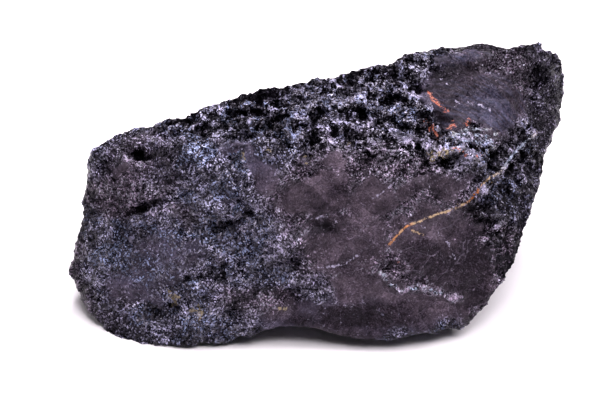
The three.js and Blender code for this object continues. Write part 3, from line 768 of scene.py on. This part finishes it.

# The crystalline parts: navy, violet or black ground, with frosted pale grains that are more in
# the crusts and bluer in some sheaves, a few bright threads and glints that are painted highlights,
# and strokes and swaths of light and shade along the grain
drawn_long = add(tree, "VectorMath", {0: turned, 1: (1, 4, 4)}, operation="MULTIPLY").outputs[0]
fibres = add(tree, "TexNoise", {"Vector": drawn_long, "Scale": 0.8, "Detail": 4,
                                "Roughness": 0.7}).outputs["Fac"]
painted_thread = add(tree, "Math", {0: fibres, 1: 0.5}, operation="SUBTRACT").outputs[0]
painted_thread = add(tree, "Math", {0: painted_thread}, operation="ABSOLUTE").outputs[0]
painted_thread = add(tree, "MapRange", {"Value": painted_thread, "From Max": 0.015, "To Min": 0.5,
                                "To Max": 0}).outputs[0]
painted_thread = add(tree, "Math", {0: painted_thread, 1: frost}, operation="MULTIPLY").outputs[0]
grain = add(tree, "SeparateColor", {"Color": grains.outputs["Color"]})
blade = add(tree, "SeparateColor", {"Color": blades.outputs["Color"]})
chunk = add(tree, "SeparateColor", {"Color": chunks.outputs["Color"]})
coarse = add(tree, "MapRange", {"Value": stored["wild_and_shaded"], "To Min": 0.2, "To Max": 0.45}).outputs[0]
mixed = add(tree, "Mix", {0: coarse, 2: grain.outputs[1], 3: chunk.outputs[1]}).outputs[0]
few = add(tree, "MapRange", {"Value": frost, "To Min": 0.68, "To Max": 0.46}).outputs[0]
many = add(tree, "Math", {0: few, 1: 0.12}).outputs[0]
pale = add(tree, "MapRange", {"Value": mixed, "From Min": few, "From Max": many}).outputs[0]
lit = add(tree, "MapRange", {"Value": stored["dull"], "To Min": 1, "To Max": 0.45}).outputs[0]
pale = add(tree, "Math", {0: pale, 1: lit}, operation="MULTIPLY").outputs[0]
painted_glint = add(tree, "MapRange", {"Value": blade.outputs[1], "From Min": 0.78, "From Max": 0.95}).outputs[0]
near_frost = add(tree, "MapRange", {"Value": crust_field_and_pocket_shade, "From Min": 0.95, "From Max": 1.5}).outputs[0]
painted_glint = add(tree, "Math", {0: painted_glint, 1: near_frost}, operation="MULTIPLY").outputs[0]
# The ground is navy or violet, and black where the crystals are coarse. In the cracks, the pockets and on
# the back that black is painted shade
ground = add(tree, "Mix", {0: stored["violet"], 6: linear("#0b0c18"), 7: linear("#211b22")},
             data_type="RGBA")
ground = add(tree, "Mix", {0: stored["wild_and_shaded"], 6: ground.outputs[2], 7: linear("#060509")},
             data_type="RGBA")
tint = add(tree, "MapRange", {"Value": turn.outputs[1], "From Min": 0.5, "From Max": 0.8}).outputs[0]
blue = add(tree, "Mix", {0: tint, 6: linear("#aeaaca"), 7: linear("#929cc2")}, data_type="RGBA")
blue = add(tree, "Mix", {0: stored["violet"], 6: blue.outputs[2], 7: linear("#9b8aa1")}, data_type="RGBA")
crystalline = add(tree, "Mix", {0: pale, 6: ground.outputs[2], 7: blue.outputs[2]}, data_type="RGBA")
# Sparks, threads and glints are painted highlights, in one pale colour
painted_spark = add(tree, "MapRange", {"Value": grain.outputs[2], "From Min": 0.965,
                               "From Max": 0.995}).outputs[0]
painted_glints = add(tree, "Math", {0: painted_thread, 1: painted_glint}, operation="MAXIMUM").outputs[0]
painted_glints = add(tree, "Math", {0: painted_glints, 1: painted_spark}, operation="MAXIMUM").outputs[0]
crystalline = add(tree, "Mix", {0: painted_glints, 6: crystalline.outputs[2], 7: linear("#b4b0c4")},
                  data_type="RGBA")
lay = add(tree, "VectorRotate", {"Vector": bent, "Axis": (0, -COS, SIN), "Angle": -0.4},
          rotation_type="AXIS_ANGLE").outputs[0]
lay = add(tree, "VectorMath", {0: lay, 1: (0.35, 1, 1)}, operation="MULTIPLY").outputs[0]
swath = add(tree, "TexNoise", {"Vector": lay, "Scale": 0.65, "Detail": 6,
                               "Roughness": 0.66}).outputs["Fac"]
swath = add(tree, "MapRange", {"Value": swath, "From Min": 0.36, "From Max": 0.64, "To Min": 0.15,
                               "To Max": 1.55}).outputs[0]
strokes = add(tree, "MapRange", {"Value": fibres, "From Min": 0.36, "From Max": 0.64, "To Min": 0.45,
                                 "To Max": 1.55}).outputs[0]
strokes = add(tree, "Math", {0: strokes, 1: swath}, operation="MULTIPLY").outputs[0]
crystalline = add(tree, "VectorMath", {0: crystalline.outputs[2], "Scale": strokes}, operation="SCALE")

# Clean breaks are a cloudy violet-brown, with a milky film, faint fibres, a fine pale dust,
# plates of 3 mm that are painted lighter or darker as if each were tilted to the light, and pale
# cracks between some of them. A painted sheen lightens the scoop, and painted shade darkens the
# lower right and the bottom. The dull part is bluer, and its film and sheen lie in arcs
cloud = add(tree, "TexNoise", {"Vector": bent, "Scale": 0.45, "Detail": 8,
                               "Roughness": 0.72}).outputs["Fac"]
cloud = add(tree, "MapRange", {"Value": cloud, "From Min": 0.36, "From Max": 0.66}).outputs[0]
milky_light_and_shade = add(tree, "Math", {0: stored["film_sheen_and_shade"], 1: 0.5, 2: cloud}, operation="MULTIPLY_ADD").outputs[0]
sides = add(tree, "SeparateXYZ", {0: in_mm})
along_arc = add(tree, "Math", {0: sides.outputs[0], 1: 0.12}, operation="MULTIPLY").outputs[0]
arc_place = add(tree, "CombineXYZ", {0: stored["arc"], 1: along_arc})
arc_fibres_and_sheen = add(tree, "TexNoise", {"Vector": arc_place.outputs[0], "Scale": 3.0, "Detail": 4,
                              "Roughness": 0.7}).outputs["Fac"]
arc_fibres_and_sheen = add(tree, "MapRange", {"Value": arc_fibres_and_sheen, "From Min": 0.37, "From Max": 0.63}).outputs[0]
arc_fibres_and_sheen = add(tree, "Math", {0: stored["film_sheen_and_shade"], 1: 0.6, 2: arc_fibres_and_sheen}, operation="MULTIPLY_ADD").outputs[0]
arc_fibres_and_sheen = add(tree, "Math", {0: arc_fibres_and_sheen, 1: 0.4}, operation="SUBTRACT").outputs[0]
milky_light_and_shade = add(tree, "Mix", {0: stored["dull"], 2: milky_light_and_shade, 3: arc_fibres_and_sheen}).outputs[0]
slate = add(tree, "Mix", {0: stored["violet"], 6: linear("#484558"), 7: linear("#50464f")},
            data_type="RGBA")
slate = add(tree, "Mix", {0: stored["dull"], 6: slate.outputs[2], 7: linear("#36384c")}, data_type="RGBA")
broken = add(tree, "Mix", {0: milky_light_and_shade, 6: linear("#120c10"), 7: slate.outputs[2]}, data_type="RGBA")
dust = add(tree, "TexNoise", {"Vector": turned, "Scale": 5, "Detail": 3, "Roughness": 0.8}).outputs["Fac"]
dust = add(tree, "MapRange", {"Value": dust, "From Min": 0.48, "From Max": 0.72,
                              "To Max": 0.55}).outputs[0]
bare = add(tree, "Math", {0: stored["film_sheen_and_shade"], 1: 0.25, 2: 0.9}, operation="MULTIPLY_ADD").outputs[0]
bare = add(tree, "Mix", {0: stored["dull"], 2: bare, 3: 0.4}).outputs[0]
dust = add(tree, "Math", {0: dust, 1: bare}, operation="MULTIPLY").outputs[0]
broken = add(tree, "Mix", {0: dust, 6: broken.outputs[2], 7: linear("#6f6173")}, data_type="RGBA")
streak = add(tree, "MapRange", {"Value": fibres, "From Min": 0.5, "From Max": 0.7,
                                "To Max": 0.3}).outputs[0]
broken = add(tree, "Mix", {0: streak, 6: broken.outputs[2], 7: linear("#6c5e72")}, data_type="RGBA")
plates = add(tree, "TexVoronoi", {"Vector": bent, "Scale": 0.34})
plate = add(tree, "SeparateColor", {"Color": plates.outputs["Color"]})
# Each plate is painted lighter or darker as shading for its tilt, times a fine random speckle
painted_shading_and_speckle = add(tree, "MapRange", {"Value": plate.outputs[0], "To Min": 0.6, "To Max": 1.35}).outputs[0]
speckle = add(tree, "MapRange", {"Value": grain.outputs[0], "To Min": 0.65, "To Max": 1.35}).outputs[0]
painted_shading_and_speckle = add(tree, "Math", {0: painted_shading_and_speckle, 1: speckle}, operation="MULTIPLY").outputs[0]
# The film and the painted sheen lighten, and the painted shade darkens
film_and_painted_light = add(tree, "Math", {0: stored["film_sheen_and_shade"], 1: 0.25, 2: 1.0}, operation="MULTIPLY_ADD").outputs[0]
painted_shading_and_speckle = add(tree, "Math", {0: painted_shading_and_speckle, 1: film_and_painted_light}, operation="MULTIPLY").outputs[0]
broken = add(tree, "VectorMath", {0: broken.outputs[2], "Scale": painted_shading_and_speckle}, operation="SCALE")
crack = add(tree, "TexVoronoi", {"Vector": bent, "Scale": 0.34},
            feature="DISTANCE_TO_EDGE").outputs["Distance"]
crack = add(tree, "Math", {0: fray, 1: 0.12, 2: crack}, operation="MULTIPLY_ADD").outputs[0]
crack = add(tree, "MapRange", {"Value": crack, "From Min": 0.06, "From Max": 0.08, "To Min": 1,
                               "To Max": 0}).outputs[0]
shown = add(tree, "MapRange", {"Value": plate.outputs[1], "From Min": 0.5, "From Max": 0.8,
                               "To Max": 0.3}).outputs[0]
crack = add(tree, "Math", {0: crack, 1: shown}, operation="MULTIPLY").outputs[0]
broken = add(tree, "Mix", {0: crack, 6: broken.outputs[0], 7: linear("#8a8094")}, data_type="RGBA")
shade = add(tree, "MapRange", {"Value": swath, "From Min": 0.15, "From Max": 1.55, "To Min": 0.72,
                               "To Max": 1.2})
broken = add(tree, "VectorMath", {0: broken.outputs[2], "Scale": shade.outputs[0]}, operation="SCALE")
colour = add(tree, "Mix", {0: split, 6: crystalline.outputs[0], 7: broken.outputs[0]}, data_type="RGBA")
# The pockets are painted black, as shade
colour = add(tree, "Mix", {0: painted_pocket_shade, 6: colour.outputs[2], 7: linear("#040306")}, data_type="RGBA")


def drawn_line(tree, distance, width, ragged, raggedness):
    """1 within a width of a line and 0 outside, blended over 0.12 mm, with an edge that a noise
    pushes in and out."""
    pushed = add(tree, "Math", {0: ragged, 1: raggedness, 2: distance},
                 operation="MULTIPLY_ADD").outputs[0]
    middle = width + raggedness * 0.5
    return add(tree, "MapRange", {"Value": pushed, "From Min": middle - 0.06, "From Max": middle + 0.06,
                                  "To Min": 1, "To Max": 0}).outputs[0]


# The markings, one over another: pale edges, the vein, cream spots and rusty stains
edges = drawn_line(tree, stored["edge"], 0.03, fray, 1.1)
veins = drawn_line(tree, stored["vein"], 0.1, fray, 0.75)
bluish = add(tree, "Math", {0: stored["rust"], 1: -1}, operation="MULTIPLY").outputs[0]
vein_colour = add(tree, "Mix", {0: stored["rust"], 6: linear("#b3997a"), 7: linear("#b56c34")},
                  data_type="RGBA")
vein_colour = add(tree, "Mix", {0: bluish, 6: vein_colour.outputs[2], 7: linear("#aeb6cc")},
                  data_type="RGBA")
creams = drawn_line(tree, stored["cream"], 0.12, fray, 1.8)
cream_colour = add(tree, "Mix", {0: bluish, 6: linear("#8e8068"), 7: linear("#a6b1c9")}, data_type="RGBA")
stains = drawn_line(tree, stored["stain"], 0.1, fray, 2.0)
stain_colour = add(tree, "Mix", {0: grain.outputs[2], 6: linear("#b58272"), 7: linear("#923d2a")},
                   data_type="RGBA")
for marking, paint in ((edges, linear("#9a93aa")), (veins, vein_colour.outputs[2]),
                       (creams, cream_colour.outputs[2]), (stains, stain_colour.outputs[2])):
    colour = add(tree, "Mix", {0: marking, 6: colour.outputs[2], 7: paint}, data_type="RGBA")

# The shine: frosted grains and crystal faces mirror the lamps, and pockets swallow the light
gloss = add(tree, "MapRange", {"Value": split, "To Min": 0.22, "To Max": 0.5}).outputs[0]
level = add(tree, "MapRange", {"Value": frost, "To Min": 0.18, "To Max": 0.5}).outputs[0]
level = add(tree, "Mix", {0: split, 2: level, 3: 0.09}).outputs[0]
open_part = add(tree, "MapRange", {"Value": painted_pocket_shade, "To Min": 1, "To Max": 0.1}).outputs[0]
level = add(tree, "Math", {0: level, 1: open_part}, operation="MULTIPLY").outputs[0]
shader = add(tree, "BsdfPrincipled", {"Base Color": colour.outputs[2], "Roughness": gloss,
                                      "Normal": facing, "IOR": 1.64, "Specular IOR Level": level,
                                      "Specular Tint": (0.88, 0.8, 1, 1)})
add(tree, "OutputMaterial", {"Surface": shader.outputs[0]})
stone.data.materials.append(schorl)

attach(stone, "root")
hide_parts("tourmaline")


# The crystals: short blades and grains of schorl, 0.3 to 2 mm long, grown into the skin where
# the stone is crystalline. Neighbours grew the same way, so they lie in sheaves. Each is a
# four-sided prism with slanting ends, sunk half into the stone.

def scatter(count, weight, dice):
    """Spots on the skin: quads picked by their area and weight, and a place within each. Gives
    the place, the normal there and the quad."""
    a, b, c, d = (sketch[quads[:, n]] for n in range(4))
    area = np.linalg.norm(np.cross(c - a, d - b), axis=1) * weight[quads].mean(1)
    pick = dice.choice(len(quads), count, p=area / area.sum())
    u, v = dice.random((2, count, 1))
    a, b, c, d = (sketch[quads[pick, n]] for n in range(4))
    spot = (a * (1 - u) + b * u) * (1 - v) + (d * (1 - u) + c * u) * v
    return spot, normal[quads[pick, 0]], pick


def sheaf_way(p, size, seed):
    """A way to lie for each point, the same round each scattered seed: three chances of the
    nearest seed's cell, as a vector of unit length."""
    lowest = np.full(len(p), np.inf)
    way = np.zeros((len(p), 3))
    for away, cell in near_seeds(p, size, seed):
        squared = (away ** 2).sum(0)
        closer = squared < lowest
        lowest = np.where(closer, squared, lowest)
        turned = np.stack([2 * chance(cell, seed + 10 + axis) - 1 for axis in range(3)], 1)
        way = np.where(closer[:, None], turned, way)
    return way / np.linalg.norm(way, axis=1)[:, None]


def unit(v):
    """Each row scaled to length 1."""
    return v / np.linalg.norm(v, axis=1)[:, None]


def prisms(spot, normal, way, long, wide, thick, dice):
    """Four-sided prisms as whole arrays: each corner is the spot plus its share of the length
    along the way, and of the width and the thickness across it, with the ends cut slanting."""
    count = len(spot)
    side = unit(np.cross(way, unit(normal + dice.normal(0, 0.5, normal.shape))))
    up = np.cross(side, way)
    slant = dice.normal(0, 0.5, (count, 2, 2))
    corners = []
    for end in (0, 1):
        for x, y in ((-1, -1), (1, -1), (1, 1), (-1, 1)):
            cut = slant[:, end, 0] * x * wide + slant[:, end, 1] * y * thick
            reach = (end - 0.5) * long + cut * 0.5
            taper = 1 if end else 0.85
            corners.append(spot + way * reach[:, None] + side * (x * taper * wide / 2)[:, None]
                           + up * (y * taper * thick / 2)[:, None])
    corners = np.stack(corners, 1).reshape(-1, 3)
    ring = np.array([(3, 2, 1, 0), (4, 5, 6, 7), (0, 1, 5, 4), (1, 2, 6, 5), (2, 3, 7, 6), (3, 0, 4, 7)])
    return corners, (ring[None] + 8 * np.arange(count)[:, None, None]).reshape(-1, 4)


# Each lies the way of its sheaf, a little astray, and laid down towards the skin. None comes
# nearer to the table than LOWEST, in mm
ASTRAY, LAID_DOWN, LOWEST = 0.28, 0.75, 0.02
LENGTH_LIMITS, WIDTH_LIMITS = (0.25, 2.2), (0.1, 0.6)

grown = np.clip(2 * rough - 1, 0, 1) * smooth(calm, 0.45, 0.85)

# How many, where they grow, their mean length and width in mm, each with its spread, and the size
# of a sheaf
crusts = {
    "top_crystals": (3000, on_top * grown, (0.5, 0.25), (0.14, 0.05), 2.6),
    "side_crystals": (3000, (1 - on_top) * front * grown, (0.4, 0.2), (0.12, 0.04), 3.4),
    "back_crystals": (3000, (1 - front) * grown * (world[:, 2] > 0.4), (0.5, 0.25), (0.14, 0.05), 3.0),
}
for seed, (name, (count, weight, lengths, widths, sheaf)) in enumerate(crusts.items()):
    dice = np.random.default_rng(40 + seed)
    spot, out, quad = scatter(count, weight, dice)
    way = unit(sheaf_way(spot, sheaf, 171 + 20 * seed) + dice.normal(0, ASTRAY, spot.shape))
    way = unit(way - LAID_DOWN * out * (way * out).sum(1)[:, None])
    long = np.clip(dice.normal(*lengths, count), *LENGTH_LIMITS)
    wide = np.clip(dice.normal(*widths, count), *WIDTH_LIMITS)
    thick = wide * dice.uniform(0.4, 0.9, count)
    corners, faces = prisms(spot, out, way, long, wide, thick, dice)
    corners = to_world(corners)
    corners[:, 2] = np.maximum(corners[:, 2], LOWEST)
    same = {key: np.repeat(numbers[quads[quad, 0]], 8) for key, numbers in values.items()}
    crust = mesh_of(name, corners, faces, same, np.zeros(len(faces), bool))
    crust.data.materials.append(schorl)
    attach(crust, "root")


# The table: a plain pale sheet, 4 m wide, that the stone lies on
table_mesh = bpy.data.meshes.new("table")
table_mesh.from_pydata([(-2, -2, 0), (2, -2, 0), (2, 2, 0), (-2, 2, 0)], [], [(0, 1, 2, 3)])
table = bpy.data.objects.new("table", table_mesh)
bpy.context.collection.objects.link(table)
paper = bpy.data.materials.new("white_paper")
paper.use_nodes = True
paper.node_tree.nodes["Principled BSDF"].inputs["Base Color"].default_value = linear("#faf7f9")
paper.node_tree.nodes["Principled BSDF"].inputs["Roughness"].default_value = 0.8
table.data.materials.append(paper)


# Studio light, slightly pink: a wide soft lamp above, a small bright one behind, and weaker ones
# at the sides and high in front, so that the shadows stay pale
def lamp(name, at, size, shine):
    """A flat lamp at a place in metres, turned to the stone. Its power is its area times pi
    times how brightly it shines, with the white table at about 1."""
    data = bpy.data.lights.new(name, "AREA")
    data.shape = "RECTANGLE"
    data.size, data.size_y = size
    data.energy = shine * math.pi * size[0] * size[1]
    data.color = (1, 0.95, 1)
    light = bpy.data.objects.new(name, data)
    bpy.context.collection.objects.link(light)
    light.location = at
    way = np.array((0, 0, 0.012)) - np.array(at)
    yaw = math.atan2(-way[0], way[1])
    pitch = math.atan2(math.hypot(way[0], way[1]), -way[2])
    light.rotation_euler = (pitch, 0, yaw)


lamp("lamp_above", (0.15, 0.12, 0.75), (1.3, 0.9), 3.4)
lamp("lamp_behind", (0.02, 0.42, 0.6), (0.22, 0.2), 32)
lamp("lamp_right", (0.5, 0.05, 0.5), (0.24, 0.24), 10)
lamp("lamp_left", (-0.5, 0.1, 0.45), (0.2, 0.2), 4.5)
lamp("lamp_front", (0.1, -0.3, 0.8), (0.3, 0.2), 9.5)
room = bpy.data.worlds.new("room")
room.use_nodes = True
room.node_tree.nodes["Background"].inputs["Color"].default_value = (1, 1, 1, 1)
room.node_tree.nodes["Background"].inputs["Strength"].default_value = 0.05
bpy.context.scene.world = room
bpy.context.scene.view_settings.view_transform = "Standard"


# The camera: a long lens, 38 degrees above the table, that shows the stone as large as the photo
# does: 60 mm over 497 of the photo's 612 pixels. The sketch's origin is at pixel (320, 200)
PIXEL = 60 / 497
PHOTO_WIDTH = 612
ORIGIN_PIXEL = np.array((320, 200))
MIDDLE_PIXEL = np.array((306, 204))
DISTANCE = 1.2
aside = (MIDDLE_PIXEL - ORIGIN_PIXEL) * (PIXEL, -PIXEL)
middle = to_world(np.array([(*aside, 0)]))[0] * MM
camera_data = bpy.data.cameras.new("camera")
camera_data.sensor_width = 36
camera_data.lens = camera_data.sensor_width * DISTANCE / (PHOTO_WIDTH * PIXEL * MM)
camera_data.clip_end = 20
camera = bpy.data.objects.new("camera", camera_data)
bpy.context.collection.objects.link(camera)
camera.location = middle + DISTANCE * np.array((0, -COS, SIN))
camera.rotation_euler = (math.pi / 2 - LEAN, 0, 0)
bpy.context.scene.camera = camera
